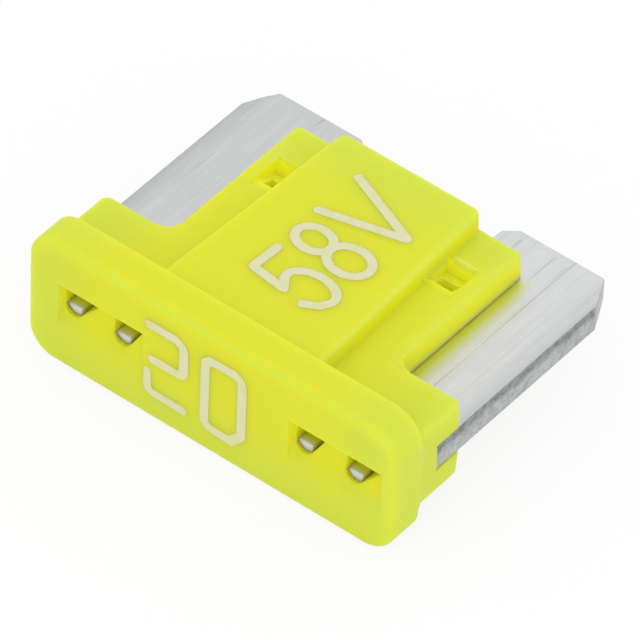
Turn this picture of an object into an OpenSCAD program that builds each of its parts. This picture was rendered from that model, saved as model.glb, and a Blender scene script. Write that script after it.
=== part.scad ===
// Low-profile mini blade fuse, lying on its flat side. Lengths are in millimetres.
// X runs across both blades, Y from the head's face to the blade tips, Z through the thickness.
// The origin lies under the middle of the fuse, on the plane that the head rests on.

/* [Head] */
// Width of the head, across both blades
head_w = 10.9; // [10.7:0.05:12]
// Thickness of the head
head_t = 3.81; // [3.7:0.01:4.4]
// Depth of the head's full-thickness flange
flange_d = 1.04; // [0.9:0.02:1.2]
// Radius of the head's four long corners
head_corner_r = 0.8; // [0.5:0.05:1]
// Radius of the rounded edge round the head's face
front_edge_r = 0.2; // [0.1:0.02:0.3]
// Length of the slope that steps from the flange down to the shoulder
step_run = 0.26; // [0.15:0.01:0.35]

/* [Body] */
// How far the shoulder and the blades stand in from each end of the head
blade_inset = 0.12; // [0.08:0.01:0.3]
// Distance from the head's face to the back of the shoulder
shoulder_y = 2.73; // [2.6:0.01:3]
// How far each wing reaches over its blade
wing_cover = 1.31; // [1.2:0.01:1.6]
// Distance from the head's face to the ends of the wings
wing_y = 7.5; // [7.2:0.05:7.6]
// Step from the head's surface down to the shoulder and the wings
wing_drop = 0.755; // [0.6:0.005:0.8]
// Radius of the inner corner between shoulder and wing
inner_corner_r = 0.38; // [0.2:0.02:0.5]
// How far the plateau reaches over each blade where it leaves the head
plateau_cover = 0.31; // [0.1:0.01:0.4]
// How much narrower the plateau is at its end, on each side
plateau_taper = 0.28; // [0:0.01:0.4]
// How far the plateau reaches past the ends of the wings
plateau_reach = 0.08; // [0:0.01:0.2]
// Step from the head's surface down to the plateau
plateau_drop = 0.255; // [0.2:0.005:0.4]
// Radius of the moulded edges
edge_r = 0.12; // [0.06:0.01:0.16]
// Draw angle of the mould, in degrees
draft = 2.5; // [1:0.5:3]

/* [Probe windows] */
// Width of the two outer probe windows in the head's face
outer_window_w = 0.96; // [0.8:0.02:1]
// Width of the two inner probe windows
inner_window_w = 0.8; // [0.7:0.02:0.9]
// How far a window's upright side stands inside the side of its prong
window_inset = 0.04; // [0:0.01:0.1]
// Height of the windows' upper edge above the middle of the head
window_top = 0.69; // [0.6:0.01:0.8]
// Height of the windows' lower end above the middle of the head
window_bottom = -0.16; // [-0.25:0.01:-0.1]
// Height where a window's slanted side starts
window_slant_z = 0.47; // [0.3:0.01:0.55]
// Radius of a window's rounded lower end
window_nose_r = 0.28; // [0.2:0.01:0.32]
// Depth of the sloping channel along its upper edge
channel_d = 0.2; // [0.1:0.02:0.24]
// Height of the channel's lower end above the middle of the head
channel_bottom = -0.56; // [-0.7:0.01:-0.45]
// How far the channel's slanted ends run out beyond the windows
channel_run = 0.16; // [0.05:0.01:0.18]
// How far each window reaches into the head
window_d = 0.9; // [0.6:0.05:1.1]

/* [Cavities] */
// Thickness of the plateau's wall over the link chamber
chamber_wall = 0.65; // [0.5:0.05:0.8]
// How far the link chamber stops short of each blade
chamber_side = 0.22; // [0.1:0.01:0.4]
// Distance from the head's face to the chamber
chamber_y = 1.7; // [1.6:0.05:2.2]
// Width of a staking pocket
pocket_w = 0.86; // [0.6:0.02:0.95]
// Length of a staking pocket
pocket_l = 1.14; // [0.8:0.02:1.2]
// Middle of a staking pocket, from the blade's inner edge
pocket_in = 0.49; // [0.45:0.01:0.6]
// Middle of a staking pocket, from the wing's end
pocket_back = 1.76; // [1:0.02:2]
// Width of the small hole in a staking pocket
pin_hole_w = 0.5; // [0.3:0.02:0.56]
// Length of the small hole in a staking pocket
pin_hole_l = 0.34; // [0.2:0.02:0.5]

/* [Metal element] */
// Distance from the head's face to the blade tips
overall_l = 8.73; // [8.4:0.01:9.5]
// Thickness of the blades
blade_t = 0.8; // [0.7:0.01:0.85]
// Width of one blade
blade_w = 3.26; // [3:0.02:3.3]
// Distance from the head's face to the root of the blades
blade_root_y = 1.8; // [1.7:0.02:1.95]
// Length of the long chamfer on a blade's outer corner
tip_chamfer_l = 0.92; // [0.5:0.02:1.1]
// Width of the long chamfer on a blade's outer corner
tip_chamfer_w = 0.45; // [0.3:0.01:0.6]
// Size of the small chamfer on a blade's inner corner
inner_chamfer = 0.32; // [0.1:0.01:0.4]
// Length of the coined bevel on the blade tips
coin_l = 0.42; // [0.2:0.02:0.6]
// Depth of the coined bevel on each face of the tips
coin_d = 0.06; // [0.02:0.01:0.1]
// Width of a probe prong
prong_w = 0.46; // [0.4:0.01:0.5]
// Thickness of a probe prong, level with the blade's lower face
prong_t = 0.43; // [0.35:0.01:0.45]
// Distance from the head's face to the prong tips
prong_y = 0.22; // [0.16:0.01:0.3]
// Middle of the outer prong, from the blade's outer edge
prong_in = 1.14; // [1.12:0.01:1.3]
// Distance between the two prongs of a blade
prong_pitch = 1.47; // [1.4:0.01:1.6]
// Width of the fusible link
link_w = 0.34; // [0.25:0.01:0.45]
// Thickness of the fusible link
link_t = 0.28; // [0.2:0.01:0.35]
// Radius of the link's two bends, along its middle
link_r = 0.6; // [0.5:0.02:0.7]
// Middle of the link, from the head's face
link_y = 4.1; // [3.8:0.05:4.6]
// Radius of the staking hole in each blade
stake_hole_r = 0.3; // [0.26:0.01:0.32]

/* [Fit] */
// Gap between the metal and the moulding all round
fit_gap = 0.03; // [0.02:0.01:0.05]

/* [Hidden] */
$fn = 48;
cut_over = 0.1;                 // how far a cut runs past the face that it opens
nose_r = 0.07;                  // rounding of a prong's tip
step_drop = 0.16;               // how far below the head's surface the sloping step starts
body_y = flange_d / 2;          // the blocks behind the flange start inside it
torus_fn = 24;                  // facets round a soft corner
section_fn = 12;                // facets round a soft edge
inner_corner_drop = 0.03;       // how far the inner corners stay below the wings' surface
pin_wall = 0.1;                 // moulding left between a staking pocket's hole and the blade
ramp_share = 0.68;              // depth of a pocket's ramp, as a share of its hole's depth
ramp_end = 0.12;                // length of the steep end of a pocket's ramp
pin_hole_y = -0.08;             // middle of the small hole, from the middle of its pocket
wing_t = head_t - 2 * wing_drop;
plateau_t = head_t - 2 * plateau_drop;
plateau_y = wing_y + plateau_reach;
half_gap_t = blade_t / 2 + fit_gap;
blade_outer = head_w / 2 - blade_inset;
blade_inner = blade_outer - blade_w;
wing_w = 2 * (blade_inner + wing_cover);
plateau_front_w = 2 * (blade_inner + plateau_cover);
plateau_back_w = plateau_front_w - 2 * plateau_taper;
chamber_w = 2 * (blade_inner - chamber_side);
pocket_x = blade_inner + pocket_in;
pocket_y = wing_y - pocket_back;
outer_prong_x = blade_outer - prong_in;
inner_prong_x = outer_prong_x - prong_pitch;
prong_xs = [-outer_prong_x, -inner_prong_x, inner_prong_x, outer_prong_x];
prong_to_window = window_inset - prong_w / 2;
left_pair = [[-outer_prong_x, outer_window_w], [-inner_prong_x, inner_window_w]];
right_pair = [[inner_prong_x, inner_window_w], [outer_prong_x, outer_window_w]];
sides = [-1, 1];

// Moves the fuse from its own axes, head's face and middle plane, to where it rests.
module at_rest() {
    translate([0, -overall_l / 2, head_t / 2]) children();
}

// Section of the head's edge: outwards along X, depth along Y, its front corner rounded.
module edge_section(reach, depth, r) {
    translate([0, r]) square([reach, depth - r]);
    square([reach - r, r]);
    translate([reach - r, r]) circle(r);
}

// The flange: a plate with four rounded corners and a rounded front edge.
module flange() {
    run_x = head_w / 2 - head_corner_r;
    run_z = head_t / 2 - head_corner_r;
    rotate([0, -90, 0])
        linear_extrude(2 * run_x, center = true) {
            edge_section(head_t / 2, flange_d, front_edge_r);
            mirror([1, 0]) edge_section(head_t / 2, flange_d, front_edge_r);
        }
    for (s = sides)
        scale([s, 1, 1])
            linear_extrude(2 * run_z, center = true)
                translate([run_x, 0])
                    edge_section(head_corner_r, flange_d, front_edge_r);
    for (sx = sides, sz = sides)
        mirror([sx > 0 ? 0 : 1, 0, 0])
            mirror([0, 0, sz > 0 ? 1 : 0])
                translate([run_x, 0, -run_z])
                    rotate([-90, 0, 0])
                        rotate_extrude(angle = 90)
                            edge_section(head_corner_r, flange_d, front_edge_r);
}

// A moulded block with soft edges, drafted away from its middle plane.
module soft_block(front_w, back_w, y0, y1, t, corner_r) {
    spread = tan(draft) * t / 2;
    hull()
        for (sx = sides, end = [0, 1]) {
            half_w = (end == 0 ? front_w : back_w) / 2;
            y = end == 0 ? y0 + corner_r : y1 - corner_r;
            translate([sx * (half_w + spread - corner_r), y, 0])
                cylinder(r = corner_r, h = edge_r, center = true, $fn = torus_fn);
            for (sz = sides)
                translate([sx * (half_w - corner_r), y, sz * (t / 2 - edge_r)])
                    rotate_extrude($fn = torus_fn)
                        intersection() {
                            translate([corner_r - edge_r, 0]) circle(edge_r, $fn = section_fn);
                            translate([0, -edge_r]) square([corner_r, 2 * edge_r]);
                        }
        }
}

// The slopes between the flange and the shoulder, on both faces and at both ends.
module step_slope() {
    top = head_t / 2 - step_drop;
    low = wing_t / 2 - edge_r;
    half_w = (head_w - head_corner_r) / 2;
    y1 = flange_d + step_run;
    rotate([90, 0, 90])
        linear_extrude(2 * half_w, center = true)
            polygon([
                [body_y, -top], [flange_d, -top], [y1, -low],
                [y1, low], [flange_d, top], [body_y, top]
            ]);
    linear_extrude(2 * min(low, head_t / 2 - head_corner_r), center = true)
        polygon([
            [-head_w / 2, body_y], [-head_w / 2, flange_d], [-blade_outer, y1],
            [blade_outer, y1], [head_w / 2, flange_d], [head_w / 2, body_y]
        ]);
}

// The rounded inner corners where the wings leave the shoulder.
module inner_corners() {
    spread = tan(draft) * edge_r;
    for (s = sides)
        mirror([s > 0 ? 0 : 1, 0, 0])
            linear_extrude(wing_t - 2 * inner_corner_drop, center = true)
                difference() {
                    translate([wing_w / 2 - edge_r, shoulder_y - edge_r])
                        square(inner_corner_r + edge_r);
                    translate([wing_w / 2 + inner_corner_r, shoulder_y + inner_corner_r])
                        circle(inner_corner_r + spread);
                }
}

// One probe window: upright on its left, slanted on its right, round at its lower end.
module window_outline(w) {
    r = window_nose_r;
    nose = [r, window_bottom + r];
    reach = [w, window_slant_z] - nose;
    turn = atan2(reach[1], reach[0]) - acos(r / norm(reach));
    polygon([
        [0, window_top], [w, window_top], [w, window_slant_z],
        nose + r * [cos(turn), sin(turn)], nose, [0, nose[1]]
    ]);
    translate(nose) circle(r);
}

// The channel and the two windows of one pair, cut into the head's face.
module window_pair(pair) {
    x0 = pair[0][0] + prong_to_window;
    x1 = pair[1][0] + prong_to_window + pair[1][1];
    spill = channel_run * cut_over / channel_d;
    intersection() {
        translate([x0 - channel_run - spill, 0, 0])
            rotate([90, 0, 90])
                linear_extrude(x1 - x0 + 2 * (channel_run + spill))
                    polygon([
                        [-cut_over, channel_bottom], [0, channel_bottom],
                        [channel_d, window_top], [-cut_over, window_top]
                    ]);
        translate([0, 0, channel_bottom - cut_over])
            linear_extrude(window_top - channel_bottom + 2 * cut_over)
                polygon([
                    [x0 - channel_run - spill, -cut_over], [x1 + channel_run + spill, -cut_over],
                    [x1, channel_d], [x0, channel_d]
                ]);
    }
    for (window = pair)
        translate([window[0] + prong_to_window, window_d, 0])
            rotate([90, 0, 0])
                linear_extrude(window_d + cut_over) window_outline(window[1]);
}

// The way of one prong through the head, from its tip back to the blade slot.
module prong_way(x) {
    y0 = prong_y - fit_gap;
    z0 = -half_gap_t;
    translate([x - prong_w / 2 - fit_gap, y0, z0])
        cube([prong_w + 2 * fit_gap, blade_root_y - y0, prong_t + 2 * fit_gap]);
}

// A staking pocket in one face of a wing: a ramp down towards the tips, and a small hole in it.
module staking_pocket() {
    top = wing_t / 2;
    hole_d = top - half_gap_t - pin_wall;
    rotate([90, 0, 90])
        linear_extrude(pocket_w, center = true)
            polygon([
                [-pocket_l / 2, top], [pocket_l / 2 - ramp_end, top - hole_d * ramp_share],
                [pocket_l / 2, top], [pocket_l / 2, top + cut_over], [-pocket_l / 2, top + cut_over]
            ]);
    translate([-pin_hole_w / 2, pin_hole_y - pin_hole_l / 2, top - hole_d])
        cube([pin_hole_w, pin_hole_l, hole_d + cut_over]);
}

// The space inside: the slot for the blades and the taller chamber round the link.
module cavity() {
    y0 = blade_root_y - fit_gap;
    translate([-head_w / 2, y0, -half_gap_t])
        cube([head_w, plateau_y - y0 + cut_over, 2 * half_gap_t]);
    chamber_h = plateau_t - 2 * chamber_wall;
    translate([-chamber_w / 2, chamber_y, -chamber_h / 2])
        cube([chamber_w, plateau_y - chamber_y + cut_over, chamber_h]);
}

// The moulded housing in one piece: flange, shoulder, wings, plateaus and stakes.
module housing() {
    shoulder_corner = 0.22;
    wing_corner = 0.16;
    plateau_corner = 0.26;
    color([0.87, 0.88, 0.2]) at_rest() {
        difference() {
            union() {
                flange();
                step_slope();
                soft_block(2 * blade_outer, 2 * blade_outer, body_y, shoulder_y, wing_t, shoulder_corner);
                soft_block(wing_w, wing_w, body_y, wing_y, wing_t, wing_corner);
                soft_block(plateau_front_w, plateau_back_w, body_y, plateau_y, plateau_t, plateau_corner);
                inner_corners();
            }
            cavity();
            window_pair(left_pair);
            window_pair(right_pair);
            for (x = prong_xs)
                prong_way(x);
            for (s = sides, face = sides)
                translate([s * pocket_x, pocket_y, 0])
                    scale([1, 1, face]) staking_pocket();
        }
        for (s = sides)
            translate([s * pocket_x, pocket_y, 0])
                cylinder(r = stake_hole_r - fit_gap, h = 2 * half_gap_t + pin_wall, center = true);
    }
}

// Outline of the right blade, with its long outer chamfer and small inner one.
module blade_outline() {
    polygon([
        [blade_inner, blade_root_y], [blade_outer, blade_root_y],
        [blade_outer, overall_l - tip_chamfer_l], [blade_outer - tip_chamfer_w, overall_l],
        [blade_inner + inner_chamfer, overall_l], [blade_inner, overall_l - inner_chamfer]
    ]);
}

// Side view of the blades: flat, with both faces coined down at the tip.
module blade_side() {
    h = blade_t / 2;
    y1 = overall_l - coin_l;
    polygon([
        [blade_root_y, -h], [y1, -h], [overall_l, coin_d - h],
        [overall_l, h - coin_d], [y1, h], [blade_root_y, h]
    ]);
}

// One blade, with the hole that the stake goes through.
module blade() {
    difference() {
        intersection() {
            linear_extrude(blade_t, center = true) blade_outline();
            rotate([90, 0, 90]) linear_extrude(blade_outer + cut_over) blade_side();
        }
        translate([pocket_x, pocket_y, 0])
            cylinder(r = stake_hole_r, h = blade_t + 2 * cut_over, center = true);
    }
}

// One probe prong with a rounded nose, seen from the side and drawn through its width.
module prong(x) {
    z0 = -blade_t / 2;
    l = blade_root_y - prong_y;
    translate([x - prong_w / 2, 0, 0])
        rotate([90, 0, 90])
            linear_extrude(prong_w)
                translate([prong_y, z0]) {
                    translate([nose_r, 0]) square([l - nose_r, prong_t]);
                    translate([0, nose_r]) square([l, prong_t - 2 * nose_r]);
                    for (z = [nose_r, prong_t - nose_r])
                        translate([nose_r, z]) circle(nose_r);
                }
}

// Half of the link: a tab from the blade, a leg and half of the S-shaped bend.
module link_half() {
    leg = link_r + link_w;
    translate([link_r, 0])
        intersection() {
            difference() {
                circle(link_r + link_w / 2);
                circle(link_r - link_w / 2);
            }
            translate([-2 * link_r, 0]) square([4 * link_r, 2 * link_r]);
        }
    translate([2 * link_r - link_w / 2, -leg]) square([link_w, leg]);
    translate([2 * link_r - link_w / 2, -leg - link_w / 2])
        square([blade_inner - 2 * link_r + link_w / 2, link_w]);
}

// The fusible link: a thin strip that runs in an S from blade to blade.
module link() {
    translate([0, link_y, 0])
        linear_extrude(link_t, center = true) {
            link_half();
            rotate(180) link_half();
        }
}

// The metal element in one piece: two blades, four probe prongs and the fusible link.
module fuse_element() {
    color([0.74, 0.75, 0.77]) at_rest() {
        blade();
        mirror([1, 0, 0]) blade();
        for (x = prong_xs)
            prong(x);
        link();
    }
}

housing();
fuse_element();
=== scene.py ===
# %% [markdown]
# A low-profile blade fuse, lying on its flat side
#
# The real object is tiny: 10.9 mm across. It is one moulding of translucent
# yellow plastic on one stamping of plated zinc, with two printed ratings.
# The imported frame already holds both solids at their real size. This script
# gives both solids softly broken edges, dresses them with procedural
# materials, prints the numbers, and sets the light and the camera.

# %% Load the frame
import math

import bmesh
import bpy
from mathutils import Matrix, Vector


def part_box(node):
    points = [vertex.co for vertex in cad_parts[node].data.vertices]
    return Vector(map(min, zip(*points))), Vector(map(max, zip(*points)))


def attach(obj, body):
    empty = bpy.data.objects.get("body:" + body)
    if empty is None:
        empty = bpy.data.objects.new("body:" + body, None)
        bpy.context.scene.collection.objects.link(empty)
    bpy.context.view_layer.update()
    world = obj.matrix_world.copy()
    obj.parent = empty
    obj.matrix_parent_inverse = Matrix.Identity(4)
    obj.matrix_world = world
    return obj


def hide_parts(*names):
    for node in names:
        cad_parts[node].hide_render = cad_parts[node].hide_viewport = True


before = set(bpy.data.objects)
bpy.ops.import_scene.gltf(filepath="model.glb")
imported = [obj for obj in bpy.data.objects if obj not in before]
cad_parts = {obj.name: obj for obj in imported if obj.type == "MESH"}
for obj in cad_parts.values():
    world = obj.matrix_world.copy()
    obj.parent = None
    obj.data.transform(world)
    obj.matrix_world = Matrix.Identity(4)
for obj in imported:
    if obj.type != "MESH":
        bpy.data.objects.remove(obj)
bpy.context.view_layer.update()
MM = 0.001
print("solids:", sorted(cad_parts))

# %% [markdown]
# Reference planes
#
# Print and paint are placed from two planes: the head's face, which is the
# housing's lowest Y, and the middle plane of the fuse, which lies half a
# head's thickness above the table. They come from the frame's own boxes, so
# print and paint follow the moulding. A place on the fuse is then three plain
# numbers in millimetres: from the centre line, behind the head's face and
# above the middle plane. Tones that follow the blades' outer edges and tips
# are measured from the stamping's own far corner.

# %% Planes taken from the frame
HOUSING_LOW, HOUSING_HIGH = (Vector(c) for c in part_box("housing"))
METAL_HIGH = Vector(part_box("fuse_element")[1])
FACE_Y = HOUSING_LOW.y
MID_Z = (HOUSING_LOW.z + HOUSING_HIGH.z) / 2
PLATEAU_TOP_Z = 1.65            # top of the plateau above the middle plane, in mm


def on_fuse(x, y, z):
    """A place on the fuse: mm from the centre line, behind the face, above the middle plane."""
    return Vector((x * MM, FACE_Y + y * MM, MID_Z + z * MM))


print("head's face at y", round(FACE_Y / MM, 3), "middle plane at z", round(MID_Z / MM, 3))

# %% [markdown]
# Small helpers
#
# A shader tree is easier to read when each node is one call that says which
# values it gets and which sockets feed it. `add` makes a node, sets its
# plain inputs by name and returns it, and `link` joins two sockets. The
# helpers after them make one kind of node each and return its output, so that
# a mask or a colour can be handed from one line to the next.

# %% Helpers for node trees


def add(tree, kind, at=(0, 0), props=None, values=None):
    """A node of this kind, with properties and unlinked inputs set."""
    made = tree.nodes.new(kind)
    made.location = at
    for name, value in (props or {}).items():
        setattr(made, name, value)
    for name, value in (values or {}).items():
        made.inputs[name].default_value = value
    return made


def link(tree, out_socket, in_socket):
    """Joins an output to an input."""
    tree.links.new(out_socket, in_socket)


def calc(tree, operation, first, second=0.0, third=0.0, at=(0, 0), clamp=False):
    """One step of arithmetic. Each value is an output socket or a plain number."""
    made = add(tree, "ShaderNodeMath", at, {"operation": operation, "use_clamp": clamp})
    for socket, value in zip(made.inputs, (first, second, third)):
        if isinstance(value, (int, float)):
            socket.default_value = value
        else:
            link(tree, value, socket)
    return made.outputs["Value"]


def fade(tree, value, start, end, low=0.0, high=1.0, at=(0, 0)):
    """Goes from low, where value is start, to high, where value is end."""
    limits = {"From Min": start, "From Max": end, "To Min": low, "To Max": high}
    made = add(tree, "ShaderNodeMapRange", at, values=limits)
    link(tree, value, made.inputs["Value"])
    return made.outputs["Result"]


def axes(tree, vector, at=(0, 0)):
    """The X, Y and Z of a vector, as three outputs."""
    made = add(tree, "ShaderNodeSeparateXYZ", at)
    link(tree, vector, made.inputs["Vector"])
    return made.outputs


def sockets(group, inputs, outputs):
    """Gives a node group its inputs and outputs. Each is (name, kind)."""
    for way, rows in (("INPUT", inputs), ("OUTPUT", outputs)):
        for name, kind in rows:
            group.interface.new_socket(name, in_out=way, socket_type="NodeSocket" + kind)


print("node helpers ready")

# %% Helpers for colours and materials


def ramp(tree, source, stops, at=(0, 0)):
    """A colour ramp fed by source. stops are (position, grey or colour)."""
    made = add(tree, "ShaderNodeValToRGB", at)
    band = made.color_ramp
    while len(band.elements) < len(stops):
        band.elements.new(0.5)
    for element, (place, tone) in zip(band.elements, stops):
        element.position = place
        element.color = (tone, tone, tone, 1) if isinstance(tone, float) else (*tone, 1)
    link(tree, source, made.inputs["Fac"])
    return made.outputs["Color"]


def blend(tree, factor, first, second, at=(0, 0)):
    """A colour mix. first and second are output sockets or plain colours."""
    made = add(tree, "ShaderNodeMix", at, {"data_type": "RGBA"})
    link(tree, factor, made.inputs["Factor"])
    for name, value in (("A", first), ("B", second)):
        if isinstance(value, tuple):
            made.inputs[name].default_value = (*value, 1)
        else:
            link(tree, value, made.inputs[name])
    return made.outputs["Result"]


def new_material(name):
    """An empty node material with its Principled shader and output."""
    material = bpy.data.materials.new(name)
    material.use_nodes = True
    tree = material.node_tree
    tree.nodes.clear()
    shader = add(tree, "ShaderNodeBsdfPrincipled", (400, 0))
    output = add(tree, "ShaderNodeOutputMaterial", (700, 0))
    link(tree, shader.outputs["BSDF"], output.inputs["Surface"])
    return material, tree, shader


def emboss(tree, shader, height, strength, depth, at=(0, -300)):
    """Bends the light as relief of this depth would."""
    made = add(tree, "ShaderNodeBump", at, values={"Strength": strength, "Distance": depth})
    link(tree, height, made.inputs["Height"])
    link(tree, made.outputs["Normal"], shader.inputs["Normal"])


print("colour helpers ready")

# %% [markdown]
# A shared group: fine surface relief
#
# Moulded plastic, rolled metal and ink all carry fine relief: a broad, shallow
# unevenness and a fine grain. One group makes both from Object coordinates,
# stretched by a named input so that the same nodes give a round orange-peel
# grain on plastic and long streaks on the metal. It puts out two masks, one
# for height and one for tone, and each material decides what to do with them.

# %% The relief group
FINE_SHARE = 0.45               # how much of the height comes from the fine grain


def relief_group():
    """Node group: two scales of noise on stretched Object coordinates."""
    group = bpy.data.node_groups.new("fine_relief", "ShaderNodeTree")
    sockets(
        group,
        inputs=[("Stretch", "Vector"), ("Broad Scale", "Float"), ("Fine Scale", "Float")],
        outputs=[("Height", "Float"), ("Tone", "Float")],
    )
    inputs = add(group, "NodeGroupInput", (-900, 0))
    outputs = add(group, "NodeGroupOutput", (500, 0))
    coords = add(group, "ShaderNodeTexCoord", (-900, 300))
    stretched = add(group, "ShaderNodeVectorMath", (-650, 200), {"operation": "MULTIPLY"})
    link(group, coords.outputs["Object"], stretched.inputs[0])
    link(group, inputs.outputs["Stretch"], stretched.inputs[1])
    broad = add(group, "ShaderNodeTexNoise", (-400, 250), values={"Detail": 4.0, "Roughness": 0.55})
    fine = add(group, "ShaderNodeTexNoise", (-400, -50), values={"Detail": 3.0, "Roughness": 0.6})
    for noise, scale in ((broad, "Broad Scale"), (fine, "Fine Scale")):
        link(group, stretched.outputs["Vector"], noise.inputs["Vector"])
        link(group, inputs.outputs[scale], noise.inputs["Scale"])
    mixed = add(group, "ShaderNodeMix", (-100, 50), {"data_type": "FLOAT"}, {"Factor": FINE_SHARE})
    link(group, broad.outputs["Fac"], mixed.inputs["A"])
    link(group, fine.outputs["Fac"], mixed.inputs["B"])
    link(group, mixed.outputs["Result"], outputs.inputs["Height"])
    link(group, broad.outputs["Fac"], outputs.inputs["Tone"])
    return group


RELIEF = relief_group()
ROUND_GRAIN = (1.0, 1.0, 1.0)   # a stretch of 1 on every axis leaves the grain round


def relief(tree, stretch, broad, fine, at=(-700, 0)):
    """One use of the relief group, with its own stretch and scales."""
    made = add(tree, "ShaderNodeGroup", at, {"node_tree": RELIEF})
    made.inputs["Stretch"].default_value = stretch
    made.inputs["Broad Scale"].default_value = broad
    made.inputs["Fine Scale"].default_value = fine
    return made


print("group sockets:", [s.name for s in RELIEF.interface.items_tree])

# %% [markdown]
# A shared group: how deep a point lies inside a box
#
# Many tones on the fuse belong to a place, and several are painted light and
# shade: the plastic looks warmer where it is thick, deeper in the shade of a
# recess and brighter in a pocket, and the metal takes on yellow light beside
# the wings. A painted image could hold them, but it would need an unwrapped
# mesh. One group measures instead how far a point lies inside a named box: 0
# on and outside its border, 1 once it is the Fade distance within it.

# %% The inside-a-box group


def inside_group():
    """Node group: 1 well inside a box, falling to 0 at its border."""
    group = bpy.data.node_groups.new("inside_box", "ShaderNodeTree")
    sockets(
        group,
        inputs=[("Centre", "Vector"), ("Half Size", "Vector"), ("Fade", "Float")],
        outputs=[("Inside", "Float")],
    )
    inputs = add(group, "NodeGroupInput", (-900, 0))
    outputs = add(group, "NodeGroupOutput", (600, 0))
    coords = add(group, "ShaderNodeTexCoord", (-900, 300))
    offset = add(group, "ShaderNodeVectorMath", (-700, 200), {"operation": "SUBTRACT"})
    link(group, coords.outputs["Object"], offset.inputs[0])
    link(group, inputs.outputs["Centre"], offset.inputs[1])
    apart = add(group, "ShaderNodeVectorMath", (-520, 200), {"operation": "ABSOLUTE"})
    link(group, offset.outputs["Vector"], apart.inputs[0])
    room = add(group, "ShaderNodeVectorMath", (-340, 100), {"operation": "SUBTRACT"})
    link(group, inputs.outputs["Half Size"], room.inputs[0])
    link(group, apart.outputs["Vector"], room.inputs[1])
    left = axes(group, room.outputs["Vector"], (-160, 100))
    least = calc(group, "MINIMUM", left["X"], left["Y"], at=(20, 150))
    least = calc(group, "MINIMUM", least, left["Z"], at=(180, 100))
    share = add(group, "ShaderNodeMapRange", (380, 50), {"interpolation_type": "SMOOTHSTEP"})
    link(group, least, share.inputs["Value"])
    link(group, inputs.outputs["Fade"], share.inputs["From Max"])
    link(group, share.outputs["Result"], outputs.inputs["Inside"])
    return group


INSIDE = inside_group()


def inside_box(tree, box, fade_mm, at=(-700, 0)):
    """One use of the group. A box is its low and its high corner on the fuse, in mm."""
    low, high = (on_fuse(*corner) for corner in box)
    made = add(tree, "ShaderNodeGroup", at, {"node_tree": INSIDE})
    made.inputs["Centre"].default_value = (low + high) / 2
    made.inputs["Half Size"].default_value = (high - low) / 2
    made.inputs["Fade"].default_value = fade_mm * MM
    return made.outputs["Inside"]


print("group sockets:", [s.name for s in INSIDE.interface.items_tree])

# %% [markdown]
# The yellow plastic: its bulk
#
# The moulding is coloured right through. It looks pale and greenish at its
# ends, where little plastic lies behind the surface, and warmer in its thick
# middle. One box with a wide fade gives that slow change. The broad relief
# makes it a little uneven, as the colour of real plastic is.

# %% The bulk of the plastic
YELLOW_PALE = (0.66, 0.745, 0.056)
YELLOW_WARM = (0.745, 0.755, 0.025)
CORE = ((-4.9, -4.0, -1.9), (4.9, 7.4, 4.0))
CORE_FADE = 2.2
CORE_SHIFT = 0.25               # makes the warm middle smaller than its box
UNEVEN = 0.5                    # how much of the relief's tone is added


def bulk_colour(tree, grain):
    """Warm in the thick middle, pale at the ends, a little uneven."""
    core = inside_box(tree, CORE, CORE_FADE, (-1100, 300))
    shifted = calc(tree, "SUBTRACT", core, CORE_SHIFT, at=(-980, 330))
    warmth = calc(tree, "MULTIPLY_ADD", grain.outputs["Tone"], UNEVEN, shifted, (-850, 250), clamp=True)
    return blend(tree, warmth, YELLOW_PALE, YELLOW_WARM, (-650, 300))


print("warm middle:", CORE)

# %% [markdown]
# The yellow plastic: recesses and pockets
#
# The recess round each pair of probe windows is shaded by its own walls, and
# light that bounces between yellow walls turns a deeper yellow. A staking
# pocket has only a thin floor, so light comes up through it and it stays
# bright. Real light transport through thin plastic would need many samples, so
# both are painted: the recess as painted shade and the pocket as painted light,
# each a colour inside its own box.

# %% Recesses and pockets
# painted shade of a recess's walls, deepened by bounced light
YELLOW_RECESS_SHADE = (0.78, 0.76, 0.006)
# painted light that comes up through a pocket's thin floor
YELLOW_POCKET_LIGHT = (0.94, 0.93, 0.035)
RECESS_SPANS = [(-4.6, -1.9), (2.3, 5.2)]
RECESS_DEPTH = (0.01, 1.1)      # it starts just behind the face, which keeps its own colour
RECESS_Z = (-0.56, 0.89)
RECESS_FADE = 0.1
POCKET_X = 2.56                 # middle of a staking pocket
POCKET_Y = 5.74
POCKET_ROOM = (0.6, 0.8)        # half sizes of the box round a pocket
POCKET_LOW_Z = -0.3
POCKET_FADE = 0.12
WING_TOP_Z = 1.15


def recess_shade_colour(tree, body):
    """Painted shade: deep yellow in the recesses round the probe windows."""
    for place, (x0, x1) in enumerate(RECESS_SPANS):
        box = ((x0, RECESS_DEPTH[0], RECESS_Z[0]), (x1, RECESS_DEPTH[1], RECESS_Z[1]))
        recess = inside_box(tree, box, RECESS_FADE, (-1100, 600 + 200 * place))
        body = blend(tree, recess, body, YELLOW_RECESS_SHADE, (-450 + 200 * place, 350))
    return body


def pocket_light_colour(tree, body):
    """Painted light: bright yellow in both staking pockets."""
    room_x, room_y = POCKET_ROOM
    for place, middle in enumerate((-POCKET_X, POCKET_X)):
        low = (middle - room_x, POCKET_Y - room_y, POCKET_LOW_Z)
        high = (middle + room_x, POCKET_Y + room_y, WING_TOP_Z)
        pocket = inside_box(tree, (low, high), POCKET_FADE, (-1100, 1000 + 200 * place))
        body = blend(tree, pocket, body, YELLOW_POCKET_LIGHT, (-50 + 200 * place, 350))
    return body


print("recesses:", len(RECESS_SPANS), "pockets: 2")
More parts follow.
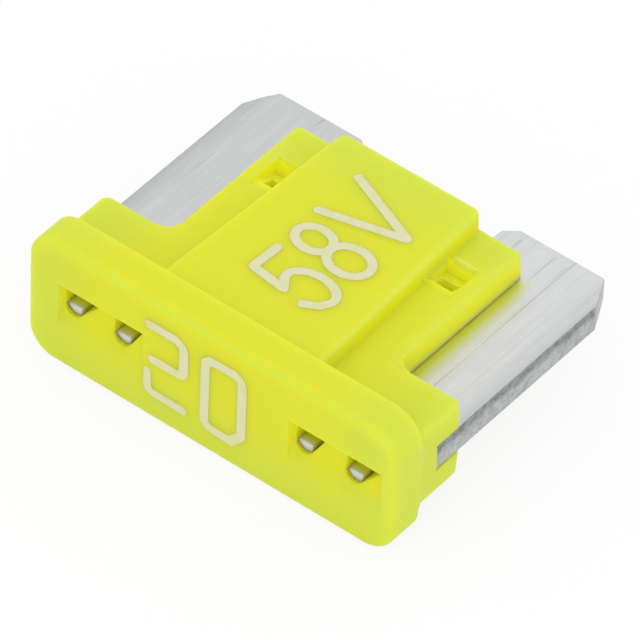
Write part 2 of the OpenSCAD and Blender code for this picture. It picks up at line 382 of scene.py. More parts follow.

# %% [markdown]
# The yellow plastic: sides of the wings and the plateau
#
# The wings are thin, so their upright sides glow with light that has come
# through them. The plateau's sides look into thick plastic and are warmer. Both
# are painted light on the upright sides. At the foot of a wing the metal shows
# through the thin edge, painted there as the metal's tone. The sides are found
# by the face normal, which points along X there, and a box keeps the mask away
# from the head's ends.

# %% Sides of the wings and the plateau
# painted light on the upright sides of the wings and the plateau
YELLOW_SIDE_GLOW = (0.86, 0.88, 0.03)
YELLOW_FLANK_LIGHT = (0.77, 0.755, 0.018)
# painted: the metal seen through the wings' thin lower edges
YELLOW_FOOT_SEE_THROUGH = (0.64, 0.65, 0.24)
SHOULDER_Y = 2.6                # the wings start here, behind the shoulder
WINGS = ((-3.8, SHOULDER_Y - 0.2, -4.0), (3.8, 8.5, 4.0))
WINGS_FADE = 0.2
FLANKS = ((-3.0, SHOULDER_Y - 0.2, WING_TOP_Z - 0.02), (3.0, 8.5, 3.0))
FLANKS_FADE = 0.06
FOOT = ((-4.6, SHOULDER_Y, -1.0), (4.6, 9.0, 0.62))
FOOT_FADE = 0.22
UPRIGHT = [(0.72, 0.0), (0.95, 1.0)]  # a side counts once its normal points mostly along X


def lit_side_colour(tree, body, facing):
    """Painted light: bright upright sides on the wings, warm ones on the plateau."""
    wings = inside_box(tree, WINGS, WINGS_FADE, (-1300, 1400))
    flanks = inside_box(tree, FLANKS, FLANKS_FADE, (-1300, 1600))
    tone = blend(tree, flanks, YELLOW_SIDE_GLOW, YELLOW_FLANK_LIGHT, (-1000, 1600))
    sideways = calc(tree, "ABSOLUTE", facing["X"], at=(-1100, 900))
    upright = ramp(tree, sideways, UPRIGHT, (-1000, 900))
    lit = calc(tree, "MULTIPLY", upright, wings, at=(-800, 1200))
    return blend(tree, lit, body, tone, (-250, 450))


def foot_see_through_colour(tree, body):
    """The metal's tone at the wings' lower edges, painted for the metal seen through them."""
    foot = inside_box(tree, FOOT, FOOT_FADE, (-1100, 1400))
    return blend(tree, foot, body, YELLOW_FOOT_SEE_THROUGH, (400, 350))


print("wings start", SHOULDER_Y, "mm behind the head's face")

# %% [markdown]
# The yellow plastic: edges
#
# Rounded edges look paler, because light leaves the plastic there; this light
# is painted on as a paler colour. Three masks find them. Pointiness finds the
# narrow broken edges, because the finished mesh bends only there. The broad
# rounding along the head's face is too even for it, so the product of two parts
# of the normal finds that one. Two rims of the right staking pocket catch the
# light, and a thin box marks each for a painted glint.

# %% Edges of the plastic
# painted light on the edges and on the head's rounding
YELLOW_EDGE_LIGHT = (0.66, 0.74, 0.085)
YELLOW_ROUND_LIGHT = (0.67, 0.74, 0.052)
YELLOW_RIM = (0.76, 0.77, 0.12)
EDGE_BEND = [(0.54, 0.0), (0.62, 0.6)]
ROUND_BEND = [(0.12, 0.0), (0.40, 1.0)]
RIM_X = POCKET_X - 0.43         # the right pocket's inner rim, half a pocket's width away
RIM_Y = POCKET_Y + 0.57         # its far rim, half a pocket's length away
RIM_Z = (WING_TOP_Z - 0.2, WING_TOP_Z + 0.1)
RIM_HALF_W = 0.1
RIM_FADE = 0.08
INNER_RIM_L = (0.9, 0.05)       # the inner rim's glint starts and ends this far before the far rim
FAR_RIM_L = (0.1, 0.8)          # the far rim's glint starts and ends this far from the inner rim


def edge_light_colour(tree, body, pointiness):
    """Painted light: paler narrow edges."""
    edges = ramp(tree, pointiness, EDGE_BEND, (-450, 600))
    return blend(tree, edges, body, YELLOW_EDGE_LIGHT, (100, 250))


def round_light_colour(tree, body, facing):
    """Painted light: a paler rounding between the head's face and its flat sides."""
    level = calc(tree, "ABSOLUTE", facing["Z"], at=(-1100, 1050))
    forward = calc(tree, "MULTIPLY", facing["Y"], -1.0, at=(-1100, 1150))
    both = calc(tree, "MULTIPLY", forward, level, at=(-900, 1050))
    rounding = ramp(tree, both, ROUND_BEND, (-700, 1050))
    return blend(tree, rounding, body, YELLOW_ROUND_LIGHT, (-150, 550))


def rim_colour(tree, body):
    """Glints on the inner and the far rim of the right staking pocket."""
    inner_rim = (
        (RIM_X - RIM_HALF_W, RIM_Y - INNER_RIM_L[0], RIM_Z[0]),
        (RIM_X + RIM_HALF_W, RIM_Y - INNER_RIM_L[1], RIM_Z[1]),
    )
    far_rim = (
        (RIM_X + FAR_RIM_L[0], RIM_Y - RIM_HALF_W, RIM_Z[0]),
        (RIM_X + FAR_RIM_L[1], RIM_Y + RIM_HALF_W, RIM_Z[1]),
    )
    for place, box in enumerate((inner_rim, far_rim)):
        rim = inside_box(tree, box, RIM_FADE, (-300, 900 + 200 * place))
        body = blend(tree, rim, body, YELLOW_RIM, (250, 450 + 200 * place))
    return body


print("glints at x", round(RIM_X, 2), "and y", round(RIM_Y, 2))

# %% [markdown]
# The yellow plastic: the whole material
#
# The colours go on in order, each over the one before. Subsurface scattering
# over a fraction of a millimetre lets light through thin walls. Blue light is
# swallowed first, so its radius is the shortest. A moderate gloss, uneven with
# the grain, stands for the fine texture of the mould.

# %% The yellow plastic
PLASTIC_GRAIN = {"stretch": ROUND_GRAIN, "broad": 420.0, "fine": 9000.0}
PLASTIC_GLOSS = [(0.3, 0.42), (0.7, 0.56)]
PLASTIC_SHADER = {
    "Subsurface Weight": 0.65,
    "Subsurface Radius": (1.0, 0.95, 0.12),
    "Subsurface Scale": 0.6 * MM,
    "IOR": 1.5,
    "Specular IOR Level": 0.22,
}


def yellow_plastic():
    """Translucent yellow moulding."""
    material, tree, shader = new_material("yellow_plastic")
    grain = relief(tree, at=(-1100, 0), **PLASTIC_GRAIN)
    geometry = add(tree, "ShaderNodeNewGeometry", (-1500, 900))
    facing = axes(tree, geometry.outputs["Normal"], (-1300, 900))
    colour = bulk_colour(tree, grain)
    colour = recess_shade_colour(tree, colour)
    colour = lit_side_colour(tree, colour, facing)
    colour = round_light_colour(tree, colour, facing)
    colour = pocket_light_colour(tree, colour)
    colour = foot_see_through_colour(tree, colour)
    colour = edge_light_colour(tree, colour, geometry.outputs["Pointiness"])
    colour = rim_colour(tree, colour)
    link(tree, colour, shader.inputs["Base Color"])
    gloss = ramp(tree, grain.outputs["Height"], PLASTIC_GLOSS, (-350, -100))
    link(tree, gloss, shader.inputs["Roughness"])
    emboss(tree, shader, grain.outputs["Height"], strength=0.14, depth=0.01 * MM)
    for name, value in PLASTIC_SHADER.items():
        shader.inputs[name].default_value = value
    return material


PLASTIC = yellow_plastic()
print("material:", PLASTIC.name)

# %% [markdown]
# The metal: rolled faces
#
# The blades are stamped from rolled strip. Rolling leaves long streaks along
# the blade, and the plating over them is a little cloudy. The left blade is
# darker than the right one. Both faces darken towards the outer edge, where the
# punch drew them down; that darkening is painted shade of the rolled-down edge.
# These are all slow changes of one grey, so two ramps and a brightness make
# them.

# %% Rolled faces of the blades
METAL_LIGHT = (0.74, 0.75, 0.75)
METAL_GREY = (0.65, 0.66, 0.67)
STREAK_GRAIN = {"stretch": (1.0, 0.022, 1.0), "broad": 5200.0, "fine": 19000.0}
CLOUD_GRAIN = {"stretch": (1.0, 0.4, 1.0), "broad": 2600.0, "fine": 16000.0}
STREAK_TONES = [(0.36, METAL_GREY), (0.56, METAL_LIGHT)]
CLOUDS = [(0.40, 0.0), (0.62, 0.55)]
LEFT_DARKER = 0.88                # brightness of the left blade, where the right one has 1
DARKER_REACH = 3.0                # it changes from this far left to this far right of the centre line
# painted shade of the rolled-down outer edge
ROLL_OVER_SHADE = 0.84                # brightness at the outer edge
ROLL_OVER_SHADE_W = 0.55              # the face darkens over this width


def rolled_colour(tree, streaks):
    """Streaked and clouded grey."""
    streaked = ramp(tree, streaks.outputs["Height"], STREAK_TONES, (-400, 250))
    grain = relief(tree, at=(-700, 350), **CLOUD_GRAIN)
    cloud = ramp(tree, grain.outputs["Height"], CLOUDS, (-400, 400))
    return blend(tree, cloud, streaked, METAL_GREY, (-200, 350))


def brightness(tree, place):
    """Lower on the left blade, and along the outer edges as painted shade."""
    left_darker = fade(tree, place["X"], -DARKER_REACH * MM, DARKER_REACH * MM, LEFT_DARKER, 1.0, (-400, 550))
    outward = calc(tree, "ABSOLUTE", place["X"], at=(-600, 650))
    edge_x = METAL_HIGH.x
    darker = fade(tree, outward, edge_x - ROLL_OVER_SHADE_W * MM, edge_x, 1.0, ROLL_OVER_SHADE, (-400, 750))
    return calc(tree, "MULTIPLY", left_darker, darker, at=(-100, 650))


print("outer edge at x", round(METAL_HIGH.x / MM, 2))

# %% [markdown]
# The metal: scratches
#
# Handling leaves short scratches along the blade, and one long scratch runs
# down the right blade. A noise that is stretched along Y makes the short ones
# where it is highest. The long one is a line at one X. The same noise shifts
# it a little to and fro, and wears it away in places.

# %% Scratches
SCRATCH_GREY = (0.40, 0.41, 0.41)
SCRATCH_STRETCH = (1.0, 0.03, 1.0)
SCRATCH_SLANT = math.radians(1.5)
SCRATCH_NOISE = {"Scale": 7000.0, "Detail": 1.0}
SHORT_ONES = [(0.69, 0.0), (0.75, 0.4)]
WORN_AWAY = [(0.35, 0.15), (0.6, 0.6)]
SCRATCH_X = 4.10                # the long scratch, from the centre line
SCRATCH_HALF_W = 0.022
SCRATCH_SHIFT = 0.06


def scratch_mask(tree, coords, place):
    """Short scratches along Y, and one long one along the right blade."""
    stretched = add(tree, "ShaderNodeMapping", (-1100, -500))
    stretched.inputs["Scale"].default_value = SCRATCH_STRETCH
    stretched.inputs["Rotation"].default_value = (0, 0, SCRATCH_SLANT)
    link(tree, coords, stretched.inputs["Vector"])
    noise = add(tree, "ShaderNodeTexNoise", (-900, -500), values=SCRATCH_NOISE)
    link(tree, stretched.outputs["Vector"], noise.inputs["Vector"])
    level = noise.outputs["Fac"]
    short = ramp(tree, level, SHORT_ONES, (-700, -500))
    worn = ramp(tree, level, WORN_AWAY, (-700, -700))
    shifted = calc(tree, "MULTIPLY_ADD", level, SCRATCH_SHIFT * MM, place["X"], (-900, -950))
    line = calc(tree, "COMPARE", shifted, SCRATCH_X * MM, SCRATCH_HALF_W * MM, (-700, -950))
    long_one = calc(tree, "MULTIPLY", line, worn, at=(-400, -800))
    return calc(tree, "MAXIMUM", short, long_one, at=(-200, -500))


print("long scratch at x", SCRATCH_X)

# %% [markdown]
# The metal: cut sides
#
# Stamping leaves two bands on each cut side: a smooth dark band where the
# punch sheared, and a paler torn band below it. The border between them is
# ragged, and pits run through both. The dark band ends before the chamfered
# tip. The cut sides are found by the face normal, because only the rolled
# faces point up or down.

# %% Cut sides of the blades
SHEAR_DARK = (0.19, 0.21, 0.20)
SHEAR_WORN = (0.34, 0.36, 0.35)
SHEAR_PALE = (0.54, 0.55, 0.56)
SHEAR_MOTTLE = (0.38, 0.39, 0.39)
SHEAR_LOW_Z = 0.22              # the dark band's border above the middle plane, before the noise lowers it
SHEAR_FADE = 0.18
SHEAR_RAGGED = 0.4              # how far the noise lowers it at most
RAGGED_NOISE = {"Scale": 2400.0, "Detail": 4.0}
BAND_END = (1.05, 0.85)         # the band fades between these distances before the tips
TORN_GRAIN = {"stretch": ROUND_GRAIN, "broad": 5200.0, "fine": 19000.0}
PITS = [(0.44, 0.0), (0.62, 1.0)]
CUT_SIDE = [(0.3, 1.0), (0.7, 0.0)]  # a side counts once its normal points little up or down


def shear_mask(tree, coords, place):
    """1 on the sheared band, with a ragged lower border, up to the tip's chamfer."""
    noise = add(tree, "ShaderNodeTexNoise", (-1100, -1300), values=RAGGED_NOISE)
    link(tree, coords, noise.inputs["Vector"])
    ragged = calc(tree, "MULTIPLY_ADD", noise.outputs["Fac"], SHEAR_RAGGED * MM, place["Z"], (-900, -1300))
    low = MID_Z + SHEAR_LOW_Z * MM
    band = fade(tree, ragged, low, low + SHEAR_FADE * MM, at=(-700, -1200))
    end, start = (METAL_HIGH.y - before * MM for before in reversed(BAND_END))
    before_tip = fade(tree, place["Y"], start, end, 1.0, 0.0, (-700, -1500))
    return calc(tree, "MULTIPLY", band, before_tip, at=(-500, -1300))


def cut_colour(tree, coords, place):
    """A dark sheared band over a pale torn one, both with pits."""
    torn = relief(tree, at=(-700, 150), **TORN_GRAIN)
    pits = ramp(tree, torn.outputs["Height"], PITS, (-400, 150))
    pale = blend(tree, pits, SHEAR_PALE, SHEAR_MOTTLE, (-100, 0))
    dark = blend(tree, pits, SHEAR_WORN, SHEAR_DARK, (-100, -100))
    return blend(tree, shear_mask(tree, coords, place), pale, dark, (50, 0))


def cut_side_mask(tree, facing):
    """1 on the cut sides, 0 on the rolled faces."""
    upward = calc(tree, "ABSOLUTE", facing["Z"], at=(-300, -250))
    return ramp(tree, upward, CUT_SIDE, (-100, -250))


print("band ends", BAND_END, "mm before the tips")

# %% [markdown]
# The metal: yellow light beside the wings
#
# The thin wings glow, and their light falls on the blades beside them. Many
# light bounces would bring it, but slowly and with noise. Two boxes along the
# wings' sides tint the metal instead, less and less with the distance.

# %% Glow beside the wings
METAL_GLOW = (0.70, 0.72, 0.15)
WING_SIDE_X = 3.38              # a wing's side
WING_END_Y = 7.5                # a wing's end
GLOW_REACH = 0.5                # on both sides of the wing's side
GLOW_FADE = 0.45
GLOW_Z = (-4.0, 4.0)            # far past both faces of the blades


def glow_colour(tree, body):
    """Yellow light on the blades beside the wings."""
    for row, side in enumerate((-1, 1)):
        edges = (side * (WING_SIDE_X - GLOW_REACH), side * (WING_SIDE_X + GLOW_REACH))
        low = (min(edges), SHOULDER_Y - 0.4, GLOW_Z[0])
        high = (max(edges), WING_END_Y, GLOW_Z[1])
        glow = inside_box(tree, (low, high), GLOW_FADE, (-700, 1200 + 200 * row))
        body = blend(tree, glow, body, METAL_GLOW, (350, 500 + 200 * row))
    return body


print("glow reaches", GLOW_REACH, "mm")

# %% [markdown]
# The metal: probe prongs
#
# Four prongs stand in the windows of the head. Their tin is dull and scatters
# light, so their metallic value is low. Their upper sides mirror the yellow
# recess, and that reflection is painted on them as yellow. Their cut ends are
# pale grey. The grey goes on a little behind the tip as a painted highlight,
# where the real prong is rounded over.

# %% Probe prongs
PRONG_METALLIC = 0.15
PRONG_GREY = (0.69, 0.70, 0.74)
# painted reflection of the yellow recess on the prongs
PRONG_REFLECTED_YELLOW = (0.76, 0.76, 0.06)
PRONGS = ((-5.6, -1.0, -1.9), (5.6, 1.2, 2.1))
PRONGS_FADE = 0.2
PRONG_TIP_Y = 0.22              # the tips stand this far behind the head's face
# painted highlight where the real prong is rounded over
NOSE_HIGHLIGHT = (0.04, 0.17)             # the grey fades between these distances behind the tip
TIP_FACES = [(0.25, 0.0), (0.55, 1.0)]


def prong_colour(tree, body, prongs, place, facing):
    """Painted yellow reflection on the prongs' upper sides, grey on their cut ends with a painted
    highlight behind the tips.
    """
    forward = calc(tree, "ABSOLUTE", facing["Y"], at=(-300, 800))
    tip_face = ramp(tree, forward, TIP_FACES, (-100, 800))
    start, end = (FACE_Y + (PRONG_TIP_Y + behind) * MM for behind in NOSE_HIGHLIGHT)
    nose_highlight = fade(tree, place["Y"], start, end, 1.0, 0.0, (-100, 1000))
    either = calc(tree, "MAXIMUM", tip_face, nose_highlight, at=(100, 900))
    cut_end = calc(tree, "MULTIPLY", prongs, either, at=(250, 800))
    body = blend(tree, prongs, body, PRONG_REFLECTED_YELLOW, (400, 250))
    return blend(tree, cut_end, body, PRONG_GREY, (550, 150))


print("prong tips", PRONG_TIP_Y, "mm behind the face")

# %% [markdown]
# The metal: the whole material
#
# The rolled faces carry the streaks, the scratches and the brightness. The
# cut sides come next, then the glow and the prongs, each over what is below.
# The streaks also steer gloss and relief, so that reflections break up along
# the blade as they do on rolled strip.

# %% The plated zinc
METAL_GLOSS = [(0.3, 0.34), (0.7, 0.5)]


def plated_zinc():
    """Rolled, stamped and tin-plated zinc strip."""
    material, tree, shader = new_material("plated_zinc")
    coords = add(tree, "ShaderNodeTexCoord", (-1500, 0)).outputs["Object"]
    place = axes(tree, coords, (-1300, 500))
    geometry = add(tree, "ShaderNodeNewGeometry", (-700, -250))
    facing = axes(tree, geometry.outputs["Normal"], (-500, -250))
    streaks = relief(tree, **STREAK_GRAIN)
    rolled = rolled_colour(tree, streaks)
    rolled = blend(tree, scratch_mask(tree, coords, place), rolled, SCRATCH_GREY, (0, 350))
    toned = add(tree, "ShaderNodeVectorMath", (150, 400), {"operation": "SCALE"})
    link(tree, rolled, toned.inputs["Vector"])
    link(tree, brightness(tree, place), toned.inputs["Scale"])
    cut = cut_colour(tree, coords, place)
    colour = blend(tree, cut_side_mask(tree, facing), toned.outputs["Vector"], cut, (300, 150))
    colour = glow_colour(tree, colour)
    prongs = inside_box(tree, PRONGS, PRONGS_FADE, (-700, 800))
    colour = prong_colour(tree, colour, prongs, place, facing)
    link(tree, colour, shader.inputs["Base Color"])
    gloss = ramp(tree, streaks.outputs["Tone"], METAL_GLOSS, (-400, -50))
    link(tree, gloss, shader.inputs["Roughness"])
    emboss(tree, shader, streaks.outputs["Height"], strength=0.25, depth=0.012 * MM, at=(150, -300))
    metallic = fade(tree, prongs, 0.0, 1.0, 1.0, PRONG_METALLIC, (-450, 600))
    link(tree, metallic, shader.inputs["Metallic"])
    return material


METAL = plated_zinc()
print("material:", METAL.name)

# %% [markdown]
# The ink
#
# The ratings are pad-printed: a film of cream ink under a hundredth of a
# millimetre thick, not quite opaque, with worn specks where the pad left less
# of it. The colour of a thin spot already holds the yellow below it, so one
# ramp over the relief is enough and no transparency is needed.

# %% The printing ink
INK_CREAM = (0.73, 0.72, 0.45)
INK_THIN = (0.69, 0.71, 0.24)
INK_GRAIN = {"stretch": ROUND_GRAIN, "broad": 2500.0, "fine": 9000.0}
INK_TONES = [(0.34, INK_THIN), (0.5, INK_CREAM)]
INK_GLOSS = [(0.3, 0.5), (0.7, 0.62)]


def printing_ink():
    """Cream pad-printing ink with thin spots."""
    material, tree, shader = new_material("printing_ink")
    grain = relief(tree, **INK_GRAIN)
    height = grain.outputs["Height"]
    link(tree, ramp(tree, height, INK_TONES, (-300, 200)), shader.inputs["Base Color"])
    link(tree, ramp(tree, height, INK_GLOSS, (-300, -100)), shader.inputs["Roughness"])
    emboss(tree, shader, height, strength=0.2, depth=0.006 * MM, at=(100, -300))
    shader.inputs["Specular IOR Level"].default_value = 0.3
    return material


INK = printing_ink()
print("material:", INK.name)

# %% [markdown]
# Soft edges on the moulding and on the stamping
#
# The solids carry the large roundings, but every real edge is broken a little:
# by the mould's wear on the plastic, and by tumbling on the metal. A copy of
# each solid is merged into one closed mesh, flat regions are dissolved back to
# single faces, and a narrow Bevel rounds each sharp edge. The copy then
# replaces the solid, at the same place. A voxel remesh would also soften the
# edges, but one fine enough for them would make more than twenty times the
# faces.
#
# The large flat faces are then cut along a grid of planes. That changes no
# shape. It gives Pointiness, which is kept per vertex, enough vertices to
# fade out close to the edges instead of spreading over a whole face.

# %% Helpers for meshes and pieces
WELD = 0.0005 * MM
FLAT = math.radians(0.8)
SMOOTH = math.radians(32)
GRID = 0.3 * MM


def new_object(name, data):
    """An object with this data, linked into the scene."""
    made = bpy.data.objects.new(name, data)
    bpy.context.scene.collection.objects.link(made)
    return made


def applied(piece):
    """The piece's mesh with its modifiers applied. The piece loses them."""
    bpy.context.view_layer.update()
    graph = bpy.context.evaluated_depsgraph_get()
    mesh = bpy.data.meshes.new_from_object(piece.evaluated_get(graph))
    piece.modifiers.clear()
    return mesh


def dress(piece, material):
    """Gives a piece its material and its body."""
    piece.data.materials.clear()
    piece.data.materials.append(material)
    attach(piece, "root")


print("mesh helpers ready")

# %% Refine the two solids


def merged_copy(node, name):
    """A welded copy of a node's mesh, with coplanar triangles joined."""
    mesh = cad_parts[node].data.copy()
    mesh.name = name
    work = bmesh.new()
    work.from_mesh(mesh)
    bmesh.ops.remove_doubles(work, verts=work.verts, dist=WELD)
    bmesh.ops.dissolve_limit(
        work, angle_limit=FLAT, verts=work.verts, edges=work.edges, use_dissolve_boundaries=False
    )
    bmesh.ops.recalc_face_normals(work, faces=work.faces)
    work.to_mesh(mesh)
    work.free()
    mesh.materials.clear()
    return new_object(name, mesh)


def grid_cut(mesh, step):
    """Cuts every face along planes a step apart on all three axes."""
    work = bmesh.new()
    work.from_mesh(mesh)
    for axis in range(3):
        values = [vert.co[axis] for vert in work.verts]
        low, high = min(values), max(values)
        count = int((high - low) / step)
        for row in range(1, count + 1):
            middle = Vector((0, 0, 0))
            normal = Vector((0, 0, 0))
            middle[axis] = low + (high - low) * row / (count + 1)
            normal[axis] = 1
            everything = work.verts[:] + work.edges[:] + work.faces[:]
            bmesh.ops.bisect_plane(work, geom=everything, dist=WELD, plane_co=middle, plane_no=normal)
    work.to_mesh(mesh)
    work.free()


def soften(piece, width, segments):
    """A narrow bevel on every sharp edge, applied, then smooth shading."""
    bevel = piece.modifiers.new("edge", "BEVEL")
    bevel.width = width
    bevel.segments = segments
    bevel.limit_method = "ANGLE"
    bevel.angle_limit = SMOOTH
    bevel.use_clamp_overlap = True
    bevel.miter_outer = "MITER_SHARP"
    piece.data = applied(piece)
    grid_cut(piece.data, GRID)
    for face in piece.data.polygons:
        face.use_smooth = True
    piece.data.set_sharp_from_angle(angle=SMOOTH)
    even = piece.modifiers.new("even", "WEIGHTED_NORMAL")
    even.keep_sharp = True
    piece.data = applied(piece)


def refine(node, name, material, width, segments=2):
    """Copy, soften and dress one solid, which the copy replaces."""
    piece = merged_copy(node, name)
    soften(piece, width, segments)
    dress(piece, material)
    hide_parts(node)
    print(name, "faces:", len(piece.data.polygons))


refine("housing", "moulding", PLASTIC, width=0.05 * MM)
refine("fuse_element", "stamping", METAL, width=0.035 * MM)

# %% [markdown]
# The ratings, drawn as strokes
#
# The numbers are plain strokes of one width with round ends, as an engraver's
# single-line letters are. Each character is a list of routes made of straight
# runs and arcs. A Geometry Nodes tree sweeps a flat rounded section along
# each route, so the stroke's width and the ink's thickness are two named
# inputs and the routes stay short. Text objects would bring a typeface in,
# which the real print hasn't got.

# %% Routes for the characters


def arc(cx, cy, rx, ry, start, end, steps):
    """Points on an ellipse's arc, in degrees, counter-clockwise if end > start."""
    turn = [math.radians(start + (end - start) * i / steps) for i in range(steps + 1)]
    return [(cx + rx * math.cos(a), cy + ry * math.sin(a)) for a in turn]


# Plain 2, in two strokes with a gap, 1.0 wide and 2.2 high, about its middle
TWO = [
    [(-0.52, 1.08), (0.28, 1.08), (0.45, 0.98), (0.52, 0.84), (0.52, 0.14), (0.40, 0.01), (-0.40, 0.00)],
    [(-0.55, -0.45), (-0.55, -0.94), (-0.43, -1.06), (0.50, -1.08)],
]
# Plain 0: a tall ring, its corners cut a little, the last one more
ZERO = [
    [
        (-0.54, 0.95), (-0.38, 1.10), (0.34, 1.12), (0.50, 1.03), (0.56, 0.88), (0.56, -0.76),
        (0.26, -1.09), (-0.40, -1.07), (-0.54, -0.93), (-0.54, 0.95),
    ],
]
# Plain 5: a bowl that opens into a straight tail
BOWL = arc(0.0, -0.38, 0.43, 0.70, 112, -104, 18)
FIVE = [[(0.55, 1.05), (-0.30, 1.09), (-0.44, 0.05), *BOWL, (-0.33, -0.94), (-0.54, -0.57)]]
# Plain 8: a small ring on a larger one
EIGHT = [arc(0.02, 0.57, 0.38, 0.50, -90, 270, 24), arc(-0.03, -0.52, 0.455, 0.585, -90, 270, 28)]
# Plain V
VEE = [[(-0.67, 1.08), (-0.10, -1.14), (0.80, 1.04)]]
print("routes:", sum(len(c) for c in (TWO, ZERO, FIVE, EIGHT, VEE)))

# %% A node tree that turns routes into ink
STROKE_STEP = 0.03 * MM         # distance of the swept sections along a route
SECTION_CORNERS = 12


def stroke_tree():
    """Geometry nodes: sweep a flat section along every spline of a curve."""
    tree = bpy.data.node_groups.new("ink_stroke", "GeometryNodeTree")
    sockets(
        tree,
        inputs=[
            ("Routes", "Geometry"), ("Stroke Width", "Float"), ("Thickness", "Float"), ("Ink", "Material"),
        ],
        outputs=[("Strokes", "Geometry")],
    )
    inputs = add(tree, "NodeGroupInput", (-800, 0))
    outputs = add(tree, "NodeGroupOutput", (600, 0))
    even = add(tree, "GeometryNodeResampleCurve", (-500, 150), {"mode": "LENGTH"})
    even.inputs["Length"].default_value = STROKE_STEP
    link(tree, inputs.outputs["Routes"], even.inputs["Curve"])
    section = add(tree, "GeometryNodeCurvePrimitiveCircle", (-500, -200))
    section.inputs["Resolution"].default_value = SECTION_CORNERS
    section.inputs["Radius"].default_value = 0.5
    size = add(tree, "ShaderNodeCombineXYZ", (-500, -450), values={"Z": 1.0})
    link(tree, inputs.outputs["Stroke Width"], size.inputs["X"])
    link(tree, inputs.outputs["Thickness"], size.inputs["Y"])
    flat = add(tree, "GeometryNodeTransform", (-250, -250))
    link(tree, section.outputs["Curve"], flat.inputs["Geometry"])
    link(tree, size.outputs["Vector"], flat.inputs["Scale"])
    upright = add(tree, "GeometryNodeSetCurveNormal", (-250, 150), {"mode": "Z_UP"})
    link(tree, even.outputs["Curve"], upright.inputs["Curve"])
    sweep = add(tree, "GeometryNodeCurveToMesh", (50, 0), values={"Fill Caps": True})
    link(tree, upright.outputs["Curve"], sweep.inputs["Curve"])
    link(tree, flat.outputs["Geometry"], sweep.inputs["Profile Curve"])
    real = add(tree, "GeometryNodeRealizeInstances", (250, 0))
    link(tree, sweep.outputs["Mesh"], real.inputs["Geometry"])
    dressed = add(tree, "GeometryNodeSetMaterial", (430, 0))
    link(tree, real.outputs["Geometry"], dressed.inputs["Geometry"])
    link(tree, inputs.outputs["Ink"], dressed.inputs["Material"])
    link(tree, dressed.outputs["Geometry"], outputs.inputs["Strokes"])
    return tree


STROKES = stroke_tree()
IDS = {s.name: s.identifier for s in STROKES.interface.items_tree if s.in_out == "INPUT"}
print("tree inputs:", sorted(IDS))

# %% [markdown]
# Printing a word
#
# The routes are drawn flat in the XY plane, swept there, made a plain mesh
# and only then moved to their place. A matrix whose columns are the reading
# direction, the letters' up direction and the surface's normal does the
# placing, so the same function prints on the head's face and on the plateau.

# %% Strokes from routes
INK_T = 0.007 * MM
SAME_POINT = 0.01               # two ends nearer than this, in mm, close a ring


def is_ring(route):
    """True if the route's last point is its first one again."""
    return (Vector(route[0]) - Vector(route[-1])).length < SAME_POINT


def curve_of(name, routes):
    """A curve object with one spline for each route."""
    data = bpy.data.curves.new(name + "_routes", "CURVE")
    data.dimensions = "3D"
    for route in routes:
        ring = is_ring(route)
        points = route[:-1] if ring else route
        spline = data.splines.new("POLY")
        spline.points.add(len(points) - 1)
        for point, (x, y) in zip(spline.points, points):
            point.co = (x * MM, y * MM, 0, 1)
        spline.use_cyclic_u = ring
    return new_object(name + "_carrier", data)


def swept_ink(name, routes, width):
    """The mesh of the swept strokes, flat in the XY plane."""
    carrier = curve_of(name, routes)
    sweep = carrier.modifiers.new("ink", "NODES")
    sweep.node_group = STROKES
    sweep[IDS["Stroke Width"]] = width
    sweep[IDS["Thickness"]] = 2 * INK_T
    sweep[IDS["Ink"]] = INK
    mesh = applied(carrier)
    bpy.data.objects.remove(carrier)
    mesh.name = name
    return mesh


def round_ends(work, routes, radius):
    """Flat round caps at both ends of each open route."""
    for route in routes:
        for x, y in ([] if is_ring(route) else [route[0], route[-1]]):
            place = Matrix.Translation((x * MM, y * MM, 0)) @ Matrix.Diagonal((radius, radius, INK_T, 1))
            bmesh.ops.create_uvsphere(work, u_segments=20, v_segments=8, radius=1.0, matrix=place)


print("ink stands", round(INK_T / MM, 3), "mm in front of the plastic")

# %% Print the ratings


def print_word(name, characters, width, right, up, origin):
    """Characters are (routes, middle along the line, middle height) in mm."""
    placed = []
    for routes, at_x, at_y in characters:
        placed += [[(x + at_x, y + at_y) for x, y in route] for route in routes]
    mesh = swept_ink(name, placed, width)
    work = bmesh.new()
    work.from_mesh(mesh)
    round_ends(work, placed, width / 2)
    bmesh.ops.recalc_face_normals(work, faces=work.faces)
    columns = Matrix((right, up, right.cross(up))).transposed().to_4x4()
    work.transform(Matrix.Translation(origin) @ columns)
    for face in work.faces:
        face.smooth = True
    work.to_mesh(mesh)
    work.free()
    dress(new_object(name, mesh), INK)
    print(name, "faces:", len(mesh.polygons))


X_AXIS = Vector((1, 0, 0))
Y_AXIS = Vector((0, 1, 0))
Z_AXIS = Vector((0, 0, 1))
FACE_STROKE = 0.285 * MM
TOP_STROKE = 0.25 * MM
AMPERES = [(TWO, -1.25, 0.05), (ZERO, 0.45, 0.0)]
VOLTS = [(FIVE, 2.95, -0.25), (EIGHT, 4.25, -0.25), (VEE, 5.76, -0.22)]
print_word("ampere_number", AMPERES, FACE_STROKE, X_AXIS, Z_AXIS, on_fuse(0, 0, 0))
print_word("volt_number", VOLTS, TOP_STROKE, Y_AXIS, -X_AXIS, on_fuse(0, 0, PLATEAU_TOP_Z))

# %% [markdown]
# Floor, light and world
#
# The photo is a product shot in a light tent: white all round and hardly any
# shadow. A wide floor that fades into the white world gives that. The world
# is plain white at strength 1, so a colour renders about as it is written. One
# soft lamp stands low at the front right and gives the small difference
# between the top and the sides. The metal has to mirror the same white as the
# camera sees, so the floor glows for glossy and transmission rays too.

# %% Floor
FLOOR_SIZE = 0.6
SHADOW_FILL = 0.85              # how far the camera sees the floor as plain white, for a faint shadow
PAPER_TONES = [(0.0, 0.93), (1.0, 0.96)]


